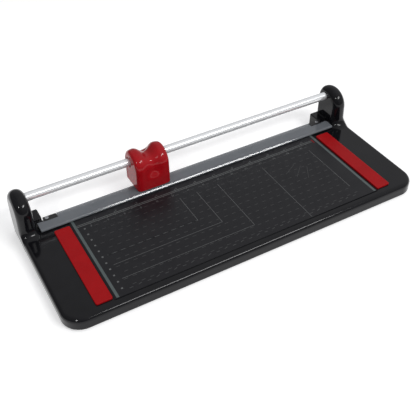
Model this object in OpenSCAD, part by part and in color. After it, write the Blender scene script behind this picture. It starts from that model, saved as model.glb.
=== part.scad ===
// Rotary paper trimmer: a round blade in a sliding head, guided by a round rail above the cutting edge.
// +X runs along the rail, -Y points to the user, +Z is up. The origin is on the table, below the middle.

/* [Base] */
// Length of the base
base_l = 437; // [425:1:450]
// Depth of the base, front to back
base_d = 175; // [172:1:178]
// Height of the base's wall above its feet
base_h = 14; // [13:0.5:16]
// Plan radius of the base's two front corners
corner_r = 22; // [16:1:26]
// Plan radius of the base's two rear corners
rear_corner_r = 6.5; // [6:0.5:8]
// Radius of the rolled top edge
edge_r = 5; // [3:0.5:5]
// Thickness of the moulded walls
wall = 2.5; // [2:0.1:3]
// Height of the rubber feet
foot_h = 2; // [1.5:0.1:3]

/* [Posts and rail] */
// Clear width between the two end posts
post_gap = 399; // [397:0.5:401]
// Depth of a post, front to back
post_d = 38; // [36:1:39]
// Height of the posts above the table
post_top = 62.5; // [61:0.5:65]
// Diameter of the rail tube
rail_d = 10; // [8:0.5:11]
// Height of the rail's axis above the table
rail_z = 50; // [48:0.5:52]
// Distance of the rail's axis behind the origin
rail_y = 74; // [73:0.5:75]

/* [Bed] */
// Length of the printed bed plate
bed_l = 331; // [320:1:331]
// Thickness of the bed plate
bed_t = 1; // [0.8:0.1:1.5]
// Width of a red side guide
guide_w = 18; // [12:1:18]
// Length of a red side guide, front to back
guide_d = 120; // [100:1:120]
// How far the side guides stand above the bed
guide_proud = 1; // [0.5:0.1:1.5]

/* [Clamp strip] */
// Depth of the clear clamp strip, front to back
strip_d = 20; // [18:0.5:20]
// Thickness of the clamp strip
strip_t = 2.5; // [2:0.1:2.5]
// Gap for the paper below the clamp strip
paper_gap = 0.8; // [0.7:0.05:0.8]

/* [Cutter head] */
// Length of the head along the rail
head_l = 42; // [40:0.5:44]
// Depth of the head, front to back
head_d = 38; // [37:0.5:39]
// Height of the head's body
head_h = 45; // [44:0.5:47]
// Distance of the head from the middle of the rail
head_x = -56.5; // [-120:0.5:120]
// Depth of the finger groove between the two humps
groove_depth = 6.5; // [5:0.5:6.5]
// Radius of the groove's round section
groove_r = 8; // [7:0.5:9]
// Diameter of the round blade
blade_d = 28; // [26:0.5:28]

/* [Hidden] */
$fn = 48;
eps = 0.01;

base_y = -1;
front_y = base_y - base_d / 2;
rear_y = base_y + base_d / 2;
deck_z = foot_h + base_h;
bed_z = deck_z + bed_t;

// The rear edge is cut back between two lobes, and the posts stand on the lobes.
notch_half = 188.5;
notch_y = 67.5;
post_x = post_gap / 2;
post_w = base_l / 2 - post_x;
post_arch_r = 22;
post_y = rear_y - post_d + post_arch_r;
post_edge = 8.5;
post_fillet = 10;
shoulder_top = deck_z + 3.5;
shoulder_d = rear_y - notch_y - 0.5;
post_hollow_top = rail_z - 12;

// Fixed blade: its rear face is the cutting plane.
cut_y = 69;
counter_l = 2 * notch_half - 3;
counter_d = 12;
counter_t = 3;
counter_front = cut_y - counter_d;
counter_screw_x = [for (i = [-2:2]) i * 80];
bed_front = front_y + 9;
bed_bevel = 2.2;
guide_x = bed_l / 2 + 0.5 + guide_w / 2;
guide_y = -17.5;

strip_l = post_gap - 7;
strip_z = bed_z + paper_gap;
strip_top = strip_z + strip_t;
strip_rear = notch_y;
strip_front = strip_rear - strip_d;
strip_step_x = 172;
strip_step_d = 5;
lip_d = 2;
lip_t = 1.1;
bracket_x = (strip_step_x + notch_half) / 2;
bracket_l = notch_half - strip_step_x - 1;
bracket_screw_x = bracket_x + 3.5;
bracket_screw_y = strip_rear - 2.5;
spring_x = 192;
spring_y = 59;
spring_r = 2.2;
spring_wire = 0.7;
spring_turns = 5;
pocket_z = deck_z - 5;
ledge_z = bed_z - counter_t - 4;

rail_socket = 15;
rail_l = post_gap + 2 * rail_socket;
rail_bore = rail_d - 2;
rail_screw_x = post_x + rail_socket / 2;

head_z = bed_z + 4;
head_y = rear_y + 2 - head_d / 2;
head_front = head_y - head_d / 2;
head_edge = 5;
head_wall = 2.4;
arch_r = head_d / 2;
arch_z = head_z + head_h - arch_r;
cover_y = head_y + 11.5;
cavity_top = rail_z - 8.2;
bay_top = head_z + 12;
groove_end_z = bay_top + groove_r + 3;
cover_screws = [for (s = [-1, 1], z = [6, 16.5]) [s * 13.2, head_z + z]];
bush_r = 6.45;
bush_bore = rail_d / 2 + 0.05;
bush_l = 11;
bush_end = head_l / 2 - 1.6;
carrier_screw = [head_l / 2 - 6.5, cavity_top - 4];

axle_z = bed_z + 10;
axle_r = 2.5;
blade_t = 0.5;
blade_y = cut_y + 0.05;
hub_r = 5.5;
hub_neck = 4;
carrier_y = head_front + head_wall + 6;
carrier_t = 4;
carrier_l = head_l - 2 * head_wall - 0.4;
pad_x = 11;

foot_r = 5.5;
foot_spots = [
    [-195, front_y + 7.5], [0, front_y + 7.5], [195, front_y + 7.5],
    [-200, rear_y - 8], [0, notch_y - 8], [200, rear_y - 8]
];
plate_t = 1.5;
plate_inset = wall + 0.2;
plate_screw_spots = [
    for (x = [-150, -50, 50, 150], y = [front_y + 20, notch_y - 18]) [x, y]
];

// ---- Shapes used more than once ----

// Rectangle with round corners, centred.
module round_rect(l, d, r) {
    square([l - 2 * r, d], center = true);
    square([l, d - 2 * r], center = true);
    for (x = [-1, 1], y = [-1, 1])
        translate([x * (l / 2 - r), y * (d / 2 - r)]) circle(r);
}

// Section of a slab of width w whose two top edges are rolled with radius e.
module rolled_section(w, h, e) {
    translate([-w / 2, 0]) square([w, h - e]);
    translate([-w / 2 + e, 0]) square([w - 2 * e, h]);
    for (x = [-1, 1])
        translate([x * (w / 2 - e), h - e]) circle(e);
}

// Slab with round plan corners and a rolled top edge.
module rolled_slab(l, d, h, r, e) {
    translate([-(l / 2 - r), 0, 0]) rotate([90, 0, 90])
        linear_extrude(l - 2 * r) rolled_section(d, h, e);
    translate([0, d / 2 - r, 0]) rotate([90, 0, 0])
        linear_extrude(d - 2 * r) rolled_section(l, h, e);
    for (x = [-1, 1], y = [-1, 1])
        translate([x * (l / 2 - r), y * (d / 2 - r), 0])
            rotate_extrude() intersection() {
                rolled_section(2 * r, h, e);
                square([r, h]);
            }
}

// Base block: the front corners are large, the rear corners small.
module base_block() {
    for (s = [-1, 1]) intersection() {
        rolled_slab(base_l, base_d, base_h, s < 0 ? corner_r : rear_corner_r, min(edge_r, rear_corner_r / 1.3));
        translate([-base_l, s < 0 ? -base_d : 0, -1]) cube([2 * base_l, base_d, base_h + 2]);
    }
}

// Upright block whose top is a half round about the X direction, with all its edges rounded.
module arched_block(w, d, h, e) {
    linear_extrude(h - d / 2) round_rect(w, d, e);
    translate([0, 0, h - d / 2]) rotate([0, 90, 0])
        rotate_extrude() intersection() {
            round_rect(d, w, e);
            translate([0, -w / 2]) square([d / 2, w]);
        }
}

// Rod along Y from y0 to y1.
module rod_y(r, y0, y1) {
    translate([0, y0, 0]) rotate([-90, 0, 0]) cylinder(r = r, h = y1 - y0);
}

// Rod along X, centred.
module rod_x(r, l) {
    rotate([0, 90, 0]) cylinder(r = r, h = l, center = true);
}

// Cross recess for a screw head, cut downwards from z = 0.
module cross_recess(r) {
    for (a = [0, 90]) rotate([0, 0, a])
        translate([-r * 0.6, -r * 0.13, -r * 0.5]) cube([r * 1.2, r * 0.26, r * 0.5 + 1]);
}

// Screw with a pan head: the head's top is at z = 0 and the shank points down.
module pan_screw(r, head_r, head_t, l) {
    difference() {
        translate([0, 0, -head_t]) cylinder(r = head_r, h = head_t);
        cross_recess(head_r);
    }
    translate([0, 0, -head_t - l]) cylinder(r = r, h = l + eps);
}

// Screw with a countersunk head: the head's top is at z = 0.
module flat_screw(r, head_r, l) {
    difference() {
        translate([0, 0, r - head_r]) cylinder(r1 = r, r2 = head_r, h = head_r - r);
        cross_recess(head_r);
    }
    translate([0, 0, -l]) cylinder(r = r, h = l - head_r + r + eps);
}

// Points of a coil's wire section, number k of ring i.
function coil_point(r, wire, pitch, i, k, steps, sides) =
    let (a = 360 * i / steps, b = 360 * k / sides, q = r + wire / 2 * cos(b))
    [q * cos(a), q * sin(a), pitch * i / steps + wire / 2 * sin(b)];

// Compression spring about Z, standing on z = 0.
module coil_spring(r, wire, length, turns) {
    steps = 16;
    sides = 8;
    rings = steps * turns;
    pitch = (length - wire) / turns;
    translate([0, 0, wire / 2]) polyhedron(
        points = [for (i = [0:rings], k = [0:sides - 1])
            coil_point(r, wire, pitch, i, k, steps, sides)],
        faces = concat(
            [[for (k = [0:sides - 1]) k]],
            [[for (k = [sides - 1:-1:0]) rings * sides + k]],
            [for (i = [0:rings - 1], k = [0:sides - 1])
                [i * sides + k, (i + 1) * sides + k,
                 (i + 1) * sides + (k + 1) % sides, i * sides + (k + 1) % sides]]
        )
    );
}

// Runs its children on both sides of the middle, mirrored.
module both_ends() {
    children();
    mirror([1, 0, 0]) children();
}

// ---- Base ----

// Plan of the base, moved inwards by inset, with the rear edge cut back.
module base_plan(inset) {
    difference() {
        translate([0, base_y]) for (s = [-1, 1]) intersection() {
            round_rect(base_l - 2 * inset, base_d - 2 * inset, (s < 0 ? corner_r : rear_corner_r) - inset);
            translate([-base_l, s < 0 ? -base_d : 0]) square([2 * base_l, base_d]);
        }
        translate([-notch_half - inset, notch_y - inset]) square([2 * (notch_half + inset), base_d]);
    }
}

// One end post with the concave sweep at its foot, and the low shoulder on its inner side.
module post_outside() {
    intersection() {
        translate([post_x + post_w / 2, post_y, foot_h + edge_r])
            arched_block(post_w, 2 * post_arch_r, post_top - foot_h - edge_r, post_edge);
        translate([post_x - 1, rear_y - base_d, 0]) cube([post_w + 2, base_d, 2 * post_top]);
    }
    translate([notch_half + post_w / 2, rear_y - shoulder_d / 2, deck_z - wall])
        rolled_slab(post_w, shoulder_d, shoulder_top - deck_z + wall, 2.5, 1);
    translate([post_x + post_w / 2 - 4, rear_y - post_d, deck_z]) rotate([90, 0, 90])
        linear_extrude(8) difference() {
            translate([-post_fillet, -1]) square([post_fillet + 1, post_fillet + 1]);
            translate([-post_fillet, post_fillet]) circle(post_fillet);
        }
}

// Space inside one post, open below, with the rail's socket and the hole of its screw.
module post_inside() {
    translate([post_x + post_w / 2, rear_y - post_d / 2, 0]) linear_extrude(post_hollow_top)
        round_rect(post_w - 2 * wall, post_d - 2 * wall, post_edge - wall);
    translate([post_x + rail_socket / 2, rail_y, rail_z]) rod_x(rail_d / 2, rail_socket + eps);
    translate([rail_screw_x, rail_y, post_hollow_top - 1]) cylinder(r = 2.1, h = rail_z - post_hollow_top);
}

module base_shell() {
    color("#17171a") difference() {
        union() {
            difference() {
                translate([0, base_y, foot_h]) base_block();
                translate([-notch_half, notch_y, 0]) cube([2 * notch_half, base_d, deck_z + 1]);
                translate([0, 0, foot_h - 1]) linear_extrude(base_h - wall + 1) base_plan(wall);
            }
            both_ends() post_outside();
            for (p = plate_screw_spots)
                translate([p.x, p.y, foot_h + plate_t]) cylinder(r = 3.5, h = base_h - plate_t - 1);
            both_ends() translate([spring_x, spring_y, pocket_z - 1.5])
                cylinder(r = spring_r + 2.5, h = 5);
            translate([-notch_half, counter_front - 2, ledge_z])
                cube([2 * notch_half, notch_y - counter_front + 2, bed_z - counter_t - ledge_z]);
        }
        both_ends() post_inside();
        translate([-counter_l / 2, counter_front, bed_z - counter_t])
            cube([counter_l, counter_d, counter_t + 1]);
        for (p = plate_screw_spots)
            translate([p.x, p.y, 0]) cylinder(r = 1.5, h = foot_h + 9);
        both_ends() translate([spring_x, spring_y, pocket_z]) cylinder(r = spring_r + 1, h = 6);
        both_ends() translate([bracket_screw_x, bracket_screw_y, ledge_z + 1]) cylinder(r = 1, h = 6);
        for (x = counter_screw_x)
            translate([x, counter_front + 4, ledge_z + 1]) cylinder(r = 1.3, h = 6);
    }
}

module bottom_plate() {
    color("#26262a") difference() {
        translate([0, 0, foot_h]) linear_extrude(plate_t) base_plan(plate_inset);
        for (p = plate_screw_spots)
            translate([p.x, p.y, foot_h - 1]) cylinder(r = 1.7, h = plate_t + 2);
        for (p = foot_spots)
            translate([p.x, p.y, foot_h - 1]) cylinder(r = 2.5, h = plate_t + 2);
    }
}

module bottom_screws() {
    color("#8d9094") for (p = plate_screw_spots)
        translate([p.x, p.y, foot_h - 1.2]) rotate([180, 0, 0]) pan_screw(1.5, 2.9, 1.2, 8);
}

module rubber_feet() {
    color("#1c1c1c") for (p = foot_spots) translate([p.x, p.y, 0]) {
        cylinder(r = foot_r, h = foot_h);
        translate([0, 0, foot_h - eps]) cylinder(r = 2.5, h = plate_t + 1);
    }
}

// ---- Bed ----

module bed_plate() {
    bevel_h = bed_t * 0.7;
    depth = counter_front - bed_front;
    color("#2b2b2e") translate([0, bed_front + depth, deck_z]) rotate([90, 0, 0])
        linear_extrude(depth) polygon([
            [-bed_l / 2, 0], [bed_l / 2, 0],
            [bed_l / 2, bed_t - bevel_h], [bed_l / 2 - bed_bevel, bed_t],
            [-bed_l / 2 + bed_bevel, bed_t], [-bed_l / 2, bed_t - bevel_h]
        ]);
}

module side_guide() {
    translate([guide_x, guide_y, deck_z])
        rolled_slab(guide_w, guide_d, bed_t + guide_proud, 2, 0.5);
}

module side_guide_left() {
    color("#a3161c") mirror([1, 0, 0]) side_guide();
}

module side_guide_right() {
    color("#a3161c") side_guide();
}

module counter_blade() {
    color("#b9bcc0") difference() {
        translate([-counter_l / 2, counter_front, bed_z - counter_t])
            cube([counter_l, counter_d, counter_t]);
        for (x = counter_screw_x) translate([x, counter_front + 4, bed_z]) {
            translate([0, 0, -counter_t - 1]) cylinder(r = 1.3, h = counter_t + 2);
            translate([0, 0, -1.3]) cylinder(r1 = 1.3, r2 = 2.6, h = 1.3);
            cylinder(r = 2.6, h = 1);
        }
        both_ends() translate([bracket_screw_x, bracket_screw_y, bed_z - counter_t - 1])
            cylinder(r = 1.2, h = counter_t + 2);
    }
}

module counter_blade_screws() {
    color("#8d9094") for (x = counter_screw_x)
        translate([x, counter_front + 4, bed_z]) flat_screw(1.3, 2.6, bed_z - ledge_z - 1);
}

// ---- Clamp strip ----

module clamp_strip() {
    bevel = 1.2;
    color([0.55, 0.58, 0.62, 0.6]) difference() {
        translate([-strip_l / 2, 0, 0]) rotate([90, 0, 90]) linear_extrude(strip_l) polygon([
            [strip_front, strip_z], [strip_rear, strip_z], [strip_rear, strip_top],
            [strip_front + bevel, strip_top], [strip_front, strip_top - bevel]
        ]);
        both_ends() {
            translate([strip_step_x, strip_rear - strip_step_d, strip_z - 1]) cube([strip_l, 10, strip_t + 2]);
            translate([strip_step_x, strip_rear - strip_step_d - lip_d - 0.3, strip_top - lip_t - 0.1])
                cube([strip_l, 10, 2]);
        }
    }
}

// Bracket at the strip's rear corner: its lip stops the strip from rising.
module clamp_bracket() {
    foot_d = strip_step_d - 0.3;
    difference() {
        union() {
            translate([bracket_x - bracket_l / 2, strip_rear - foot_d, bed_z])
                cube([bracket_l, foot_d, strip_top - bed_z]);
            translate([bracket_x - bracket_l / 2, strip_rear - foot_d - lip_d, strip_top - lip_t])
                cube([bracket_l, foot_d, lip_t]);
        }
        translate([bracket_screw_x, bracket_screw_y, strip_top]) {
            translate([0, 0, -1.1]) cylinder(r1 = 1, r2 = 2.1, h = 1.1);
            translate([0, 0, -6]) cylinder(r = 1, h = 6);
        }
    }
}

module clamp_bracket_left() {
    color("#131315") mirror([1, 0, 0]) clamp_bracket();
}

module clamp_bracket_right() {
    color("#131315") clamp_bracket();
}

module clamp_screws() {
    color("#c8cacc") both_ends() translate([bracket_screw_x, bracket_screw_y, strip_top])
        flat_screw(1, 2.1, strip_top - ledge_z - 1);
}

module clamp_springs() {
    color("#c8cacc") both_ends() translate([spring_x, spring_y, pocket_z])
        coil_spring(spring_r, spring_wire, strip_z - pocket_z, spring_turns);
}

// ---- Rail ----

module rail_tube() {
    color("#d5d8da") difference() {
        translate([0, rail_y, rail_z]) rod_x(rail_d / 2, rail_l);
        translate([0, rail_y, rail_z]) rod_x(rail_bore / 2, rail_l + 2);
        both_ends() translate([rail_screw_x, rail_y, rail_z - rail_d]) cylinder(r = 2.1, h = rail_d);
    }
}

module rail_end_plugs() {
    color("#b5a45c") both_ends() difference() {
        translate([rail_screw_x, rail_y, rail_z]) rod_x(rail_bore / 2, rail_socket - 1);
        translate([rail_screw_x, rail_y, rail_z - rail_d]) cylinder(r = 2, h = rail_d + 1);
    }
}

module rail_screws() {
    color("#8d9094") both_ends() translate([rail_screw_x, rail_y, post_hollow_top - 2.2])
        rotate([180, 0, 0]) pan_screw(2, 3.8, 2.2, rail_z - post_hollow_top);
}

// ---- Cutter head ----

// Outside of the whole head, before it is divided into housing and rear cover.
module head_outside() {
    difference() {
        translate([0, head_y, head_z]) arched_block(head_l, head_d, head_h, head_edge);
        finger_groove();
    }
}

// Groove that runs from the front face over the top to the back.
module finger_groove() {
    path_r = arch_r + groove_r - groove_depth;
    intersection() {
        translate([0, head_y, arch_z]) rotate([0, 90, 0])
            rotate_extrude() translate([path_r, 0]) circle(groove_r);
        translate([-head_l, head_y - head_d, arch_z]) cube([2 * head_l, 2 * head_d, head_d]);
    }
    translate([0, head_y - path_r, groove_end_z]) {
        cylinder(r = groove_r, h = arch_z - groove_end_z + eps);
        sphere(groove_r);
    }
    translate([0, head_y + path_r, arch_z]) sphere(groove_r);
}

// Space for the blade, open below, with a lower bay in front of the carrier.
module head_inside() {
    inner_l = head_l - 2 * head_wall;
    inner_rear = head_y + head_d / 2 - head_wall;
    translate([-inner_l / 2, carrier_y, head_z - 1])
        cube([inner_l, inner_rear - carrier_y, cavity_top - head_z + 1]);
    translate([-inner_l / 2, head_front + head_wall, head_z - 1])
        cube([inner_l, carrier_y - head_front, bay_top - head_z + 1]);
}

// Passage for the rail, with a seat for the two bushings.
module rail_passage() {
    translate([0, rail_y, rail_z]) {
        rod_x(rail_d / 2 + 0.6, head_l);
        both_ends() {
            translate([bush_end - bush_l / 2, 0, 0]) rod_x(bush_r + 0.05, bush_l + 0.1);
            translate([head_l / 2, 0, 0]) rod_x(rail_d / 2 + 1, 3.4);
        }
    }
}

module head_housing() {
    color("#a5121a") translate([head_x, 0, 0]) difference() {
        union() {
            difference() {
                head_outside();
                head_inside();
            }
            cover_bosses(cover_y - 8, cover_y);
        }
        rail_passage();
        translate([-head_l, cover_y, 0]) cube([2 * head_l, head_d, 2 * arch_z]);
        for (p = cover_screws) translate([p.x, 0, p.y]) rod_y(1.1, cover_y - 7, cover_y + 1);
        both_ends() translate([carrier_screw.x, 0, carrier_screw.y]) rod_y(1, carrier_y - 5, carrier_y + 1);
    }
}

// Bosses of the rear cover's screws, each with a rib to the side wall.
module cover_bosses(y0, y1) {
    for (p = cover_screws) {
        translate([p.x, 0, p.y]) rod_y(3.8, y0, y1);
        translate([p.x > 0 ? p.x : 1 - head_l / 2, y0, p.y - 1.5])
            cube([head_l / 2 - 1 - abs(p.x), y1 - y0, 3]);
    }
}

module head_rear_cover() {
    color("#a5121a") translate([head_x, 0, 0]) difference() {
        union() {
            difference() {
                head_outside();
                head_inside();
                translate([-head_l, cover_y - 2 * head_d, 0]) cube([2 * head_l, 2 * head_d, 2 * arch_z]);
            }
            cover_bosses(cover_y, head_y + head_d / 2 - 1);
            translate([0, 0, axle_z]) difference() {
                rod_y(5.5, cover_y + 1.5, head_y + head_d / 2 - 1);
                rod_y(axle_r, cover_y, head_y + head_d / 2 - head_wall);
            }
        }
        for (p = cover_screws) translate([p.x, 0, p.y]) {
            rod_y(1.4, cover_y - 1, head_y + head_d);
            rod_y(2.5, head_y + head_d / 2 - 2, head_y + head_d);
        }
    }
}

module head_cover_screws() {
    color("#3a3a3d") translate([head_x, 0, 0]) for (p = cover_screws)
        translate([p.x, head_y + head_d / 2 - 0.6, p.y]) rotate([-90, 0, 0]) pan_screw(1.1, 2.3, 1.4, 9);
}

module rail_bushings() {
    color("#e6e4dc") translate([head_x, rail_y, rail_z]) both_ends() difference() {
        translate([bush_end - bush_l / 2, 0, 0]) rod_x(bush_r, bush_l);
        rod_x(bush_bore, 2 * head_l);
    }
}

module blade_carrier() {
    color("#202023") translate([head_x, 0, 0]) difference() {
        union() {
            translate([-carrier_l / 2, carrier_y, head_z + 1.5])
                cube([carrier_l, carrier_t, cavity_top - head_z - 1.6]);
            translate([0, 0, axle_z]) rod_y(5, carrier_y, blade_y - 4.6);
        }
        translate([0, 0, axle_z]) rod_y(axle_r, carrier_y - 1, blade_y);
        both_ends() translate([carrier_screw.x, 0, carrier_screw.y])
            rod_y(1.2, carrier_y - 1, carrier_y + carrier_t + 1);
    }
}

module carrier_screws() {
    color("#8d9094") translate([head_x, 0, 0]) both_ends()
        translate([carrier_screw.x, carrier_y + carrier_t + 1.2, carrier_screw.y])
            rotate([-90, 0, 0]) pan_screw(1, 2, 1.2, 8);
}

module blade_axle() {
    color("#aeb2b6") translate([head_x, 0, axle_z]) difference() {
        union() {
            rod_y(axle_r, carrier_y, cover_y + 2.6);
            rod_y(4, carrier_y - 1.5, carrier_y);
        }
        translate([0, carrier_y - 1.5, 0]) rotate([90, 0, 0]) cross_recess(3.4);
    }
}

module axle_washer() {
    color("#c8cacc") translate([head_x, 0, axle_z]) difference() {
        rod_y(5, blade_y + 3.2, blade_y + 4);
        rod_y(axle_r + 0.05, blade_y, blade_y + 5);
    }
}

module axle_clip() {
    color("#55585c") translate([head_x, 0, axle_z]) difference() {
        rod_y(4.2, cover_y + 0.4, cover_y + 1.2);
        rod_y(axle_r, cover_y - 1, cover_y + 2);
        translate([-1.5, cover_y - 1, -5]) cube([3, 4, 5]);
    }
}

module blade_spring() {
    length = cover_y + 0.3 - blade_y - 4.1;
    color("#c8cacc") translate([head_x, blade_y + 4.1, axle_z]) rotate([-90, 0, 0])
        coil_spring(3.6, 0.8, length, 5);
}

module glide_pads() {
    color("#e6e4dc") translate([head_x, 0, 0]) for (x = [-1, 1])
        translate([x * pad_x - 4, head_front + head_wall, strip_top + 0.15])
            cube([8, carrier_y - head_front - head_wall - 2, 4]);
}

module cutting_blade() {
    bevel = 1.2;
    color("#cfd3d6") translate([head_x, blade_y, axle_z]) rotate([-90, 0, 0]) difference() {
        union() {
            cylinder(r = blade_d / 2 - bevel, h = blade_t);
            cylinder(r1 = blade_d / 2, r2 = blade_d / 2 - bevel, h = blade_t - 0.1);
        }
        translate([0, 0, -1]) cylinder(r = hub_neck, h = blade_t + 2);
    }
}

module blade_hub() {
    color("#2c2c30") translate([head_x, 0, axle_z]) difference() {
        union() {
            rod_y(hub_r, blade_y - 4, blade_y);
            rod_y(hub_neck, blade_y - eps, blade_y + 3);
        }
        rod_y(axle_r + 0.05, blade_y - 5, blade_y + 4);
    }
}

base_shell();
bottom_plate();
bottom_screws();
rubber_feet();
bed_plate();
side_guide_left();
side_guide_right();
counter_blade();
counter_blade_screws();
clamp_strip();
clamp_bracket_left();
clamp_bracket_right();
clamp_screws();
clamp_springs();
rail_tube();
rail_end_plugs();
rail_screws();
rail_bushings();
head_housing();
head_rear_cover();
head_cover_screws();
blade_carrier();
carrier_screws();
blade_axle();
axle_washer();
axle_clip();
blade_spring();
glide_pads();
cutting_blade();
blade_hub();
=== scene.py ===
import math

import bmesh
import bpy
import numpy as np
import openvdb
from mathutils import Matrix, Vector


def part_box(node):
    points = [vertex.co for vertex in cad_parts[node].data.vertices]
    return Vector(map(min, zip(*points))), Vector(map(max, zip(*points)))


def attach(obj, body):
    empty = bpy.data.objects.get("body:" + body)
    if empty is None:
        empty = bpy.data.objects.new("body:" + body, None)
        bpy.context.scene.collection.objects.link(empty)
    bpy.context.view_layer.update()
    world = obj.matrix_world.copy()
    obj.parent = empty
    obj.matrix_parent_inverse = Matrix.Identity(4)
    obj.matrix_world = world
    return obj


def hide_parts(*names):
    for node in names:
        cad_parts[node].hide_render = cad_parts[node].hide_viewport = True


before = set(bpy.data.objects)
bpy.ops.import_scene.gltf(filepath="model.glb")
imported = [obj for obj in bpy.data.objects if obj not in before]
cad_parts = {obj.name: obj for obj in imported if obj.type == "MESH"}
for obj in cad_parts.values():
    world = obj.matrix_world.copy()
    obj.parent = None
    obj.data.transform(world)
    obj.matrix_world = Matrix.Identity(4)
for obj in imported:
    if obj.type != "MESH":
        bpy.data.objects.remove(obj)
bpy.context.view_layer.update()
MM = 0.001


# ---------------------------------------------------------------- distance fields (mm)

def length(a, b):
    return np.sqrt(a * a + b * b)


def smoothstep(a, b, x):
    t = np.clip((x - a) / (b - a), 0.0, 1.0)
    return t * t * (3 - 2 * t)


def round_cut(a, b, r):
    """Intersection of two fields, with a convex edge of radius r."""
    return np.minimum(-r, np.maximum(a, b)) + length(np.maximum(r + a, 0), np.maximum(r + b, 0))


def round_join(a, b, r):
    """Union of two fields, with a concave fillet of radius r."""
    return np.maximum(r, np.minimum(a, b)) - length(np.maximum(r - a, 0), np.maximum(r - b, 0))


def rect(u, v, r):
    """Distance to a corner region u < 0, v < 0 whose corner is round."""
    return length(np.maximum(u + r, 0), np.maximum(v + r, 0)) + np.minimum(np.maximum(u, v) + r, 0) - r


def gradient(field, p, e=0.02):
    g = np.empty_like(p)
    for k in range(3):
        d = np.zeros(3)
        d[k] = e
        a, b = p + d, p - d
        g[:, k] = field(a[:, 0], a[:, 1], a[:, 2]) - field(b[:, 0], b[:, 1], b[:, 2])
    return g / (2 * e)


FLAT_ANGLE = math.radians(0.25)


def mesh_from_field(name, field, lo, hi, step):
    """Closed mesh of the surface where field is zero, with its points moved onto the exact surface."""
    lo = np.array(lo, float) - 2.5 * step
    count = [int(math.ceil((h + 2.5 * step - l) / step)) + 1 for l, h in zip(lo, hi)]
    axes = [l + step * np.arange(n) for l, n in zip(lo, count)]
    values = np.empty(count, np.float32)
    for i in range(count[0]):
        y, z = np.meshgrid(axes[1], axes[2], indexing="ij")
        values[i] = np.clip(field(np.full_like(y, axes[0][i]), y, z), -3 * step, 3 * step)
    grid = openvdb.FloatGrid(3 * step)
    grid.copyFromArray(values)
    points, quads = grid.convertToQuads(isovalue=0.0)
    p = points.astype(float) * step + lo
    for _ in range(4):
        g = gradient(field, p)
        size = np.maximum((g * g).sum(1, keepdims=True), 0.2)
        p -= np.clip(field(p[:, 0], p[:, 1], p[:, 2])[:, None] / size, -step, step) * g
    mesh = bpy.data.meshes.new(name)
    mesh.from_pydata((p * MM).tolist(), [], quads[:, ::-1].tolist())
    bm = bmesh.new()
    bm.from_mesh(mesh)
    bmesh.ops.dissolve_limit(bm, angle_limit=FLAT_ANGLE, verts=bm.verts, edges=bm.edges)
    bmesh.ops.recalc_face_normals(bm, faces=bm.faces)
    bm.to_mesh(mesh)
    bm.free()
    p = np.array([v.co for v in mesh.vertices]) / MM
    g = gradient(field, p)
    g /= np.maximum(np.linalg.norm(g, axis=1, keepdims=True), 1e-6)
    mesh.polygons.foreach_set("use_smooth", [True] * len(mesh.polygons))
    mesh.normals_split_custom_set_from_vertices(g.tolist())
    mesh.update()
    return link(name, mesh)


def link(name, mesh):
    o = bpy.data.objects.new(name, mesh)
    bpy.context.scene.collection.objects.link(o)
    return o


# ---------------------------------------------------------------- materials

class Nodes:
    """Short way to write a node material."""

    def __init__(self, name):
        self.mat = bpy.data.materials.new(name)
        self.mat.use_nodes = True
        self.tree = self.mat.node_tree
        self.bsdf = self.tree.nodes["Principled BSDF"]
        self.coord = self.add("ShaderNodeTexCoord").outputs["Object"]

    def add(self, kind, **props):
        n = self.tree.nodes.new(kind)
        for k, v in props.items():
            setattr(n, k, v)
        return n

    def wire(self, a, b):
        self.tree.links.new(a, b)

    def noise(self, scale, detail=3.0, roughness=0.5, stretch=None):
        n = self.add("ShaderNodeTexNoise")
        n.inputs["Scale"].default_value = scale
        n.inputs["Detail"].default_value = detail
        n.inputs["Roughness"].default_value = roughness
        if stretch is None:
            self.wire(self.coord, n.inputs["Vector"])
        else:
            m = self.add("ShaderNodeMapping")
            m.inputs["Scale"].default_value = stretch
            self.wire(self.coord, m.inputs["Vector"])
            self.wire(m.outputs["Vector"], n.inputs["Vector"])
        return n.outputs["Fac"]

    def ramp(self, fac, stops):
        n = self.add("ShaderNodeValToRGB")
        e = n.color_ramp.elements
        while len(e) < len(stops):
            e.new(0.5)
        for item, (at, colour) in zip(e, stops):
            item.position = at
            item.color = colour + (1.0,)
        self.wire(fac, n.inputs["Fac"])
        return n.outputs["Color"]

    def span(self, fac, lo, hi):
        n = self.add("ShaderNodeMapRange")
        n.inputs["To Min"].default_value = lo
        n.inputs["To Max"].default_value = hi
        self.wire(fac, n.inputs["Value"])
        return n.outputs["Result"]

    def bump(self, height, strength, distance):
        n = self.add("ShaderNodeBump")
        n.inputs["Strength"].default_value = strength
        n.inputs["Distance"].default_value = distance
        self.wire(height, n.inputs["Height"])
        self.wire(n.outputs["Normal"], self.bsdf.inputs["Normal"])

    def set(self, **values):
        for k, v in values.items():
            self.bsdf.inputs[k.replace("_", " ")].default_value = v
        return self


def plastic(name, dark, light, rough, bump=0.0, bump_scale=2500.0, spec=0.5, mottling=60.0):
    """Moulded plastic: faint colour variation, uneven gloss and a fine skin."""
    n = Nodes(name)
    n.wire(n.ramp(n.noise(mottling, 4), [(0.3, dark), (0.7, light)]), n.bsdf.inputs["Base Color"])
    n.wire(n.span(n.noise(mottling * 3, 5), rough[0], rough[1]), n.bsdf.inputs["Roughness"])
    n.set(Specular_IOR_Level=spec)
    if bump:
        n.bump(n.noise(bump_scale, 2), bump, 0.0002)
    return n.mat


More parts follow.
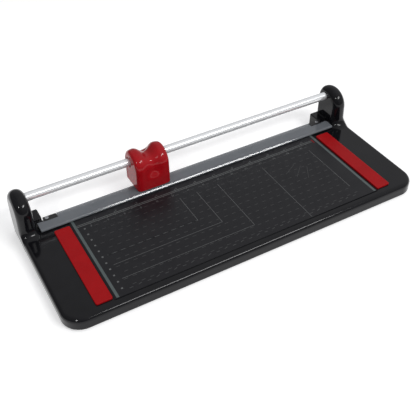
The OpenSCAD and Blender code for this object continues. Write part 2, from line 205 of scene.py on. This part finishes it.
def metal(name, dark, light, rough, stretch, scale=300.0, bump=0.08, metallic=1.0):
    """Metal with fine marks drawn out along one direction."""
    n = Nodes(name)
    marks = n.noise(scale, 5, 0.6, stretch)
    n.wire(n.ramp(marks, [(0.25, dark), (0.75, light)]), n.bsdf.inputs["Base Color"])
    n.wire(n.span(marks, rough[0], rough[1]), n.bsdf.inputs["Roughness"])
    n.set(Metallic=metallic)
    n.bump(marks, bump, 0.0001)
    return n.mat


BLACK = plastic("black_abs", (0.0035, 0.0035, 0.0045), (0.0055, 0.0055, 0.007), (0.07, 0.12),
                0.02, 900.0, spec=0.26)
BOTTOM = plastic("bottom_plastic", (0.015, 0.015, 0.016), (0.022, 0.022, 0.024), (0.45, 0.6), 0.25, 3000.0)
TRIM = plastic("black_trim", (0.006, 0.006, 0.007), (0.010, 0.010, 0.011), (0.3, 0.42), 0.15, 3500.0)
PLATE = plastic("printed_plate", (0.0065, 0.0065, 0.0085), (0.0095, 0.0095, 0.0115), (0.28, 0.36),
                0.12, 2600.0, spec=0.26)
RED_GUIDE = plastic("red_guide", (0.30, 0.003, 0.005), (0.34, 0.004, 0.006), (0.36, 0.46),
                    0.12, 2600.0, spec=0.12)
RED = plastic("red_abs", (0.30, 0.0035, 0.007), (0.35, 0.0045, 0.009), (0.09, 0.15), 0.02, 900.0, spec=0.24)
RUBBER = plastic("foot_rubber", (0.012, 0.012, 0.012), (0.022, 0.022, 0.022), (0.75, 0.9), 0.4, 4000.0)
NYLON = plastic("slide_plastic", (0.62, 0.60, 0.54), (0.70, 0.68, 0.62), (0.35, 0.5), 0.1, 2500.0)
HUB = plastic("hub_plastic", (0.014, 0.014, 0.017), (0.024, 0.024, 0.028), (0.3, 0.4), 0.1, 2500.0)
INK = plastic("print_ink", (0.085, 0.09, 0.09), (0.12, 0.125, 0.125), (0.4, 0.5), mottling=400.0)
FAINT = plastic("faint_ink", (0.034, 0.036, 0.037), (0.055, 0.057, 0.057), (0.4, 0.5), mottling=400.0)
# Lighter grey-green for the bands at the bed's ends: a painted highlight standing in for the light caught
# by the plate's slanted edges
PAINTED_EDGE_SHEEN = plastic("painted_edge_sheen", (0.060, 0.078, 0.078), (0.075, 0.094, 0.094), (0.3, 0.4), mottling=200.0)
RAIL = metal("rail_aluminium", (0.80, 0.82, 0.83), (0.90, 0.91, 0.92), (0.20, 0.28), (1, 40, 40),
             120.0, 0.02, metallic=0.55)
GROUND = metal("edge_steel", (0.52, 0.53, 0.55), (0.68, 0.69, 0.71), (0.18, 0.3), (1, 30, 30), 200.0)
ZINC = metal("screw_steel", (0.50, 0.51, 0.53), (0.64, 0.65, 0.67), (0.22, 0.36), (1, 1, 1), 800.0)
WIRE = metal("spring_steel", (0.55, 0.56, 0.58), (0.72, 0.73, 0.75), (0.15, 0.25), (1, 1, 1), 1200.0)
BRASS = metal("plug_brass", (0.50, 0.36, 0.14), (0.64, 0.48, 0.20), (0.2, 0.32), (1, 1, 20), 300.0)
OXIDE = metal("dark_screw", (0.03, 0.03, 0.032), (0.06, 0.06, 0.065), (0.3, 0.42), (1, 1, 1), 800.0)


def clear_strip():
    n = Nodes("clear_strip")
    n.wire(n.ramp(n.noise(40.0, 3), [(0.3, (0.155, 0.168, 0.185)), (0.7, (0.175, 0.188, 0.205))]),
           n.bsdf.inputs["Base Color"])
    n.wire(n.span(n.noise(160.0, 4, 0.5, (0.2, 1, 1)), 0.05, 0.10), n.bsdf.inputs["Roughness"])
    n.set(Alpha=0.72, IOR=1.49, Specular_IOR_Level=0.6)
    return n.mat


CLEAR = clear_strip()

FINISH = {
    BLACK: ["base_shell"],
    BOTTOM: ["bottom_plate"],
    TRIM: ["clamp_bracket_left", "clamp_bracket_right", "blade_carrier"],
    PLATE: ["bed_plate"],
    RED_GUIDE: ["side_guide_left", "side_guide_right"],
    RED: ["head_housing", "head_rear_cover"],
    RUBBER: ["rubber_feet"],
    NYLON: ["rail_bushings", "glide_pads"],
    HUB: ["blade_hub"],
    RAIL: ["rail_tube"],
    GROUND: ["counter_blade", "blade_axle", "cutting_blade"],
    ZINC: ["bottom_screws", "counter_blade_screws", "clamp_screws", "rail_screws", "carrier_screws"],
    WIRE: ["clamp_springs", "blade_spring", "axle_washer", "axle_clip"],
    BRASS: ["rail_end_plugs"],
    OXIDE: ["head_cover_screws"],
    CLEAR: ["clamp_strip"],
}
for material, names in FINISH.items():
    for node in names:
        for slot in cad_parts[node].material_slots:
            slot.material = material


def dress(o, material, body, slot, *replaced):
    o.data.materials.clear()
    o.data.materials.append(material)
    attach(o, body)
    if replaced:
        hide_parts(*replaced)
    return o


def mm_box(node):
    lo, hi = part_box(node)
    return np.array(lo) / MM, np.array(hi) / MM


# ---------------------------------------------------------------- base shell

SHELL_LO, SHELL_HI = mm_box("base_shell")
DECK = mm_box("bed_plate")[0][2]
HALF_L = SHELL_HI[0]
MID_Y = (SHELL_LO[1] + SHELL_HI[1]) / 2
HALF_D = (SHELL_HI[1] - SHELL_LO[1]) / 2
POST_TOP = SHELL_HI[2]
NOTCH_X, NOTCH_Y = 188.5, 67.5
POST_IN, POST_R, POST_EDGE, POST_LEAN = 199.5, 22.0, 8.5, 1.5
POST_FRONT = SHELL_HI[1] - 38.0
POST_Y = POST_FRONT + POST_R
SHOULDER_TOP, SHOULDER_Y = DECK + 3.5, NOTCH_Y + 0.5
ROLL = 5.0
WALL = 2.5
PLATE_RECESS = 2.6


def plan_outside(ax, y):
    r = np.where(y < MID_Y, 22.0, 6.5)
    return rect(ax - HALF_L, np.abs(y - MID_Y) - HALF_D, r)


def base_field(x, y, z):
    ax = np.abs(x)
    outside = plan_outside(ax, y)
    notch = -rect(ax - NOTCH_X, NOTCH_Y - y, 2.5)
    slab = round_cut(outside, z - DECK, ROLL)
    slab = round_cut(slab, notch, 1.3)
    slab = round_cut(slab, SHELL_LO[2] - z, 0.8)
    above = z - (POST_TOP - POST_R)
    side = np.where(above > 0, length(y - POST_Y, above), np.abs(y - POST_Y)) - POST_R
    lean = POST_LEAN * np.clip((z - DECK) / (POST_TOP - DECK), 0, 1)
    post = round_cut(side, np.maximum(POST_IN - ax, ax - HALF_L + lean), POST_EDGE)
    post = round_cut(post, y - SHELL_HI[1], 3.0)
    post = np.maximum(post, SHELL_LO[2] + 4 - z)
    fillet = 3.0 + 7.5 * (1 - smoothstep(50.0, 58.0, y)) * smoothstep(192.0, 203.0, ax)
    body = round_join(slab, post, fillet)
    shoulder = round_cut(rect(NOTCH_X - ax, SHOULDER_Y - y, 2.5), outside, 1.5)
    shoulder = round_cut(shoulder, z - SHOULDER_TOP, 1.2)
    body = np.minimum(body, np.maximum(shoulder, DECK - 3 - z))
    body = round_cut(body, outside, 0.05)
    body = np.maximum(body, notch)
    hollow = np.maximum(np.maximum(outside, notch) + WALL, z - SHELL_LO[2] - PLATE_RECESS)
    return np.maximum(body, -hollow)


base = mesh_from_field("base_body", base_field, SHELL_LO, SHELL_HI, 1.2)
dress(base, BLACK, "base", "black_abs", "base_shell")


# ---------------------------------------------------------------- cutter head

HEAD_LO, HEAD_HI = mm_box("head_housing")
HEAD_HI[1] = mm_box("head_rear_cover")[1][1]
HEAD_X = (HEAD_LO[0] + HEAD_HI[0]) / 2
HEAD_HALF = (HEAD_HI[0] - HEAD_LO[0]) / 2
HEAD_R = (HEAD_HI[1] - HEAD_LO[1]) / 2
HEAD_Y = (HEAD_HI[1] + HEAD_LO[1]) / 2
ARCH_Z = HEAD_HI[2] - HEAD_R
COVER_Y = mm_box("head_rear_cover")[0][1]
RAIL_LO, RAIL_HI = mm_box("rail_tube")
RAIL_Y, RAIL_Z = (RAIL_LO[1] + RAIL_HI[1]) / 2, (RAIL_LO[2] + RAIL_HI[2]) / 2
CREST, GROOVE = 13.0, 7.0
HEAD_WALL, RAIL_BORE = 2.4, 6.0
BAY_TOP, ROOM_TOP, ROOM_FRONT = 33.0, 41.8, 58.9
COVER_SCREWS = [(13.2, HEAD_LO[2] + 6), (13.2, HEAD_LO[2] + 16.5)]


def head_field(x, y, z):
    ax = np.abs(x - HEAD_X)
    above = z - ARCH_Z
    side = np.where(above > 0, length(y - HEAD_Y, above), np.abs(y - HEAD_Y)) - HEAD_R
    lean = np.arctan2(y - HEAD_Y, np.maximum(above, 0.001))
    front = (1 - 0.5 * smoothstep(0.1, 1.1, -lean)) * smoothstep(33.0, 44.0, z)
    back = 1 - smoothstep(0.85, 1.5, lean)
    across = 0.5 * (1 + np.cos(np.pi * np.clip(ax / CREST, 0, 1)))
    valley = GROOVE * across * np.where(y < HEAD_Y, front, back)
    fall = np.maximum(ax - CREST, 0) ** 2 / 34.0
    body = round_cut(side + valley + fall, ax - HEAD_HALF, 3.2)
    body = round_cut(body, HEAD_LO[2] - z, 0.6)
    bore = length(y - RAIL_Y, z - RAIL_Z) - RAIL_BORE
    inner = ax - HEAD_HALF + HEAD_WALL
    room = np.maximum(inner, z - BAY_TOP)
    room = np.maximum(room, np.abs(y - HEAD_Y) - HEAD_R + HEAD_WALL)
    blade_room = np.maximum(inner, z - ROOM_TOP)
    blade_room = np.maximum(blade_room, np.maximum(ROOM_FRONT - y, y - HEAD_Y - HEAD_R + HEAD_WALL))
    return np.maximum(np.maximum(body, -bore), -np.minimum(room, blade_room))


def housing_field(x, y, z):
    return round_cut(head_field(x, y, z), y - COVER_Y + 0.08, 0.35)


def cover_field(x, y, z):
    body = round_cut(head_field(x, y, z), COVER_Y + 0.08 - y, 0.35)
    for sx, sz in COVER_SCREWS:
        hole = length(np.abs(x - HEAD_X) - sx, z - sz) - 2.6
        body = np.maximum(body, -np.maximum(hole, HEAD_HI[1] - 2 - y))
    return body


HEAD_STEP = 0.5
housing = mesh_from_field("head_body", housing_field, HEAD_LO, HEAD_HI, HEAD_STEP)
dress(housing, RED, "head", "red_abs", "head_housing")
cover = mesh_from_field("head_back", cover_field, (HEAD_LO[0], COVER_Y, HEAD_LO[2]), HEAD_HI, HEAD_STEP)
dress(cover, RED, "head", "red_abs", "head_rear_cover")


# ---------------------------------------------------------------- print on the bed (mm)

BED_LO, BED_HI = mm_box("bed_plate")
PRINT_Z, PRINT_T = BED_HI[2] + 0.01, 0.03
INCH = 25.4
ZERO_X, ROW_Y, RULE_Y = -164.5, 44.0, 38.0
SEGMENTS = {"0": "abcdef", "1": "bc", "2": "abged", "3": "abgcd", "4": "fgbc", "5": "afgcd",
            "6": "afgedc", "7": "abc", "8": "abcdefg", "9": "abcdfg"}


class Print:
    """Flat printed marks, collected as thin boxes."""

    def __init__(self):
        self.points, self.faces = [], []

    def bar(self, a, b, width):
        along = np.array(b, float) - np.array(a, float)
        along /= np.linalg.norm(along)
        across = np.array([-along[1], along[0]]) * width / 2
        k = len(self.points)
        for z in (PRINT_Z, PRINT_Z + PRINT_T):
            for end, side in ((a, -1), (b, -1), (b, 1), (a, 1)):
                p = np.array(end, float) + side * across
                self.points.append((p[0] * MM, p[1] * MM, z * MM))
        for f in ((3, 2, 1, 0), (4, 5, 6, 7), (0, 1, 5, 4), (1, 2, 6, 5), (2, 3, 7, 6), (3, 0, 4, 7)):
            self.faces.append([k + i for i in f])

    def digit(self, char, x, y, h, width):
        w = h * 0.55
        ends = {"a": ((0, h), (w, h)), "b": ((w, h), (w, h / 2)),
                "c": ((w, h / 2), (w, 0)), "d": ((w, 0), (0, 0)),
                "e": ((0, 0), (0, h / 2)), "f": ((0, h / 2), (0, h)), "g": ((0, h / 2), (w, h / 2))}
        for name in SEGMENTS[char]:
            (ax, ay), (bx, by) = ends[name]
            self.bar((x + ax, y + ay), (x + bx, y + by), width)

    def number(self, value, x, y, h=2.2, width=0.35):
        text = str(value)
        pitch = h * 0.55 + 0.8
        for i, char in enumerate(text):
            self.digit(char, x + (i - len(text) / 2) * pitch, y, h, width)

    def finish(self, name, material):
        mesh = bpy.data.meshes.new(name)
        mesh.from_pydata(self.points, [], self.faces)
        return dress(link(name, mesh), material, "base", "printed_plate")


def bed_print():
    marks, dashes, painted_sheen, limit = Print(), Print(), Print(), Print()
    left, right = ZERO_X + 5, ZERO_X + 320
    for y in (RULE_Y, RULE_Y - 2.2):
        marks.bar((left, y), (right, y), 0.8)
    for k in range(1, 13):
        x = ZERO_X + k * INCH
        marks.bar((x, RULE_Y), (x, RULE_Y + 2.4), 0.6)
        marks.number(k, x + 2.6, RULE_Y + 1.6)
    for k in range(2, 32):
        x = ZERO_X + 10 * k
        marks.bar((x, RULE_Y - 2.2), (x, RULE_Y - 4), 0.5)
        if k % 2 == 0:
            marks.number(k, x, RULE_Y - 8)
    for row in range(1, 12):
        y = ROW_Y - 4 - 10 * row
        marks.bar((ZERO_X + 10.4, y), (ZERO_X + 12.4, y), 2.0)
        for k in range(2, 31):
            x = ZERO_X + 10 * k + (5 if row % 2 else 0)
            dashes.bar((x - 2.2, y), (x + 2.2, y), 0.5)
    front = BED_LO[1] + 6
    for k in range(2, 31):
        x = ZERO_X + 10 * k
        dashes.bar((x - 2, front), (x + 2, front + (1.2 if k % 2 else 0)), 0.7)
    # Paper formats: an edge across the bed, and for the smaller ones an edge along it.
    for x, y in ((125, 64), (147, 80), (175, 102), (237, 123), (306, 102)):
        marks.bar((ZERO_X + x, ROW_Y - 21), (ZERO_X + x, ROW_Y - y), 0.45)
        if x < 180:
            marks.bar((ZERO_X + 17, ROW_Y - y), (ZERO_X + x, ROW_Y - y), 0.4)
    # Angle lines at the right end.
    for angle in (30, 45, 60):
        c, v = math.cos(math.radians(angle)), math.sin(math.radians(angle))
        ends = [(ZERO_X + 300 - r * c, ROW_Y - 20 - r * v) for r in (30, 52)]
        dashes.bar(*ends, 0.4)
    # Lighter bands along both ends of the bed: a painted highlight for the light on the plate's edges, not
    # print
    for side in (-1, 1):
        x = side * (BED_HI[0] - 4.2)
        painted_sheen.bar((x, BED_LO[1] + 0.5), (x, BED_HI[1] - 0.5), 3.0)
    limit.bar((right + 1.5, RULE_Y + 2), (right + 1.5, RULE_Y - 5), 1.0)
    marks.finish("bed_print", INK)
    dashes.finish("bed_dashes", FAINT)
    painted_sheen.finish("painted_sheen_bands", PAINTED_EDGE_SHEEN)
    limit.finish("limit_mark", RED_GUIDE)


bed_print()


# ---------------------------------------------------------------- floor, light, camera

def floor():
    mesh = bpy.data.meshes.new("floor")
    s = 1.9
    z = -0.0002
    mesh.from_pydata([(-s, -s, z), (s, -s, z), (s, s, z), (-s, s, z)], [], [(0, 1, 2, 3)])
    o = link("floor", mesh)
    n = Nodes("floor_white")
    tone = n.ramp(n.noise(2.0, 2), [(0.3, (0.86, 0.86, 0.86)), (0.7, (0.9, 0.9, 0.9))])
    n.wire(tone, n.bsdf.inputs["Base Color"])
    n.set(Roughness=0.9, Specular_IOR_Level=0.1, Emission_Color=(1, 1, 1, 1), Emission_Strength=0.36)
    mesh.materials.append(n.mat)


floor()
bpy.context.scene.view_settings.view_transform = "Standard"


def studio():
    """Room that is dim all round, brightest overhead and a little brighter to the right."""
    w = bpy.data.worlds.new("studio")
    bpy.context.scene.world = w
    w.use_nodes = True
    tree = w.node_tree
    ground = tree.nodes["Background"]
    coord = tree.nodes.new("ShaderNodeTexCoord")
    split = tree.nodes.new("ShaderNodeSeparateXYZ")
    tree.links.new(coord.outputs["Generated"], split.inputs["Vector"])
    height = tree.nodes.new("ShaderNodeValToRGB")
    e = height.color_ramp.elements
    for at, v in ((0.0, 0.30), (0.07, 0.20), (0.22, 0.12), (0.62, 0.16), (0.82, 0.35), (1.0, 0.75)):
        item = e[0] if at == 0.0 else (e[1] if at == 1.0 else e.new(at))
        item.position = at
        item.color = (v, v, v * 1.02, 1)
    tree.links.new(split.outputs["Z"], height.inputs["Fac"])
    sideways = tree.nodes.new("ShaderNodeMapRange")
    sideways.inputs["From Min"].default_value = -0.4
    sideways.inputs["From Max"].default_value = 0.8
    sideways.inputs["To Min"].default_value = 0.6
    sideways.inputs["To Max"].default_value = 1.3
    tree.links.new(split.outputs["X"], sideways.inputs["Value"])
    tree.links.new(sideways.outputs["Result"], ground.inputs["Strength"])
    tree.links.new(height.outputs["Color"], ground.inputs["Color"])


studio()


def area_light(name, direction, distance, width, height, radiance):
    """Lamp in a direction from the origin, which it faces."""
    light = bpy.data.lights.new(name, "AREA")
    light.shape = "RECTANGLE"
    light.size = width
    light.size_y = height
    light.energy = radiance * math.pi * width * height
    o = bpy.data.objects.new(name, light)
    bpy.context.scene.collection.objects.link(o)
    o.location = Vector(direction).normalized() * distance
    o.rotation_euler = (-o.location).to_track_quat("-Z", "Y").to_euler()


area_light("lamp_left", (-0.60, -0.50, 0.66), 2.6, 0.22, 0.22, 75)
area_light("lamp_right", (0.31, -0.64, 0.70), 2.6, 1.30, 0.34, 19)

camera = bpy.data.cameras.new("camera")
camera.lens = 58.67
camera.sensor_width = 36.0
view = bpy.data.objects.new("camera", camera)
bpy.context.scene.collection.objects.link(view)
azimuth, elevation, roll = math.radians(-28.685), math.radians(41.335), math.radians(-1.097)
flat = math.cos(elevation)
back = Vector((math.sin(azimuth) * flat, -math.cos(azimuth) * flat, math.sin(elevation)))
right = Vector((math.cos(azimuth), math.sin(azimuth), 0))
up = back.cross(right)
right, up = (math.cos(roll) * right + math.sin(roll) * up,
             -math.sin(roll) * right + math.cos(roll) * up)
turn = Matrix((right, up, back)).transposed().to_4x4()
view.matrix_world = Matrix.Translation((-0.29484, -0.50934, 0.52068)) @ turn
bpy.context.scene.camera = view
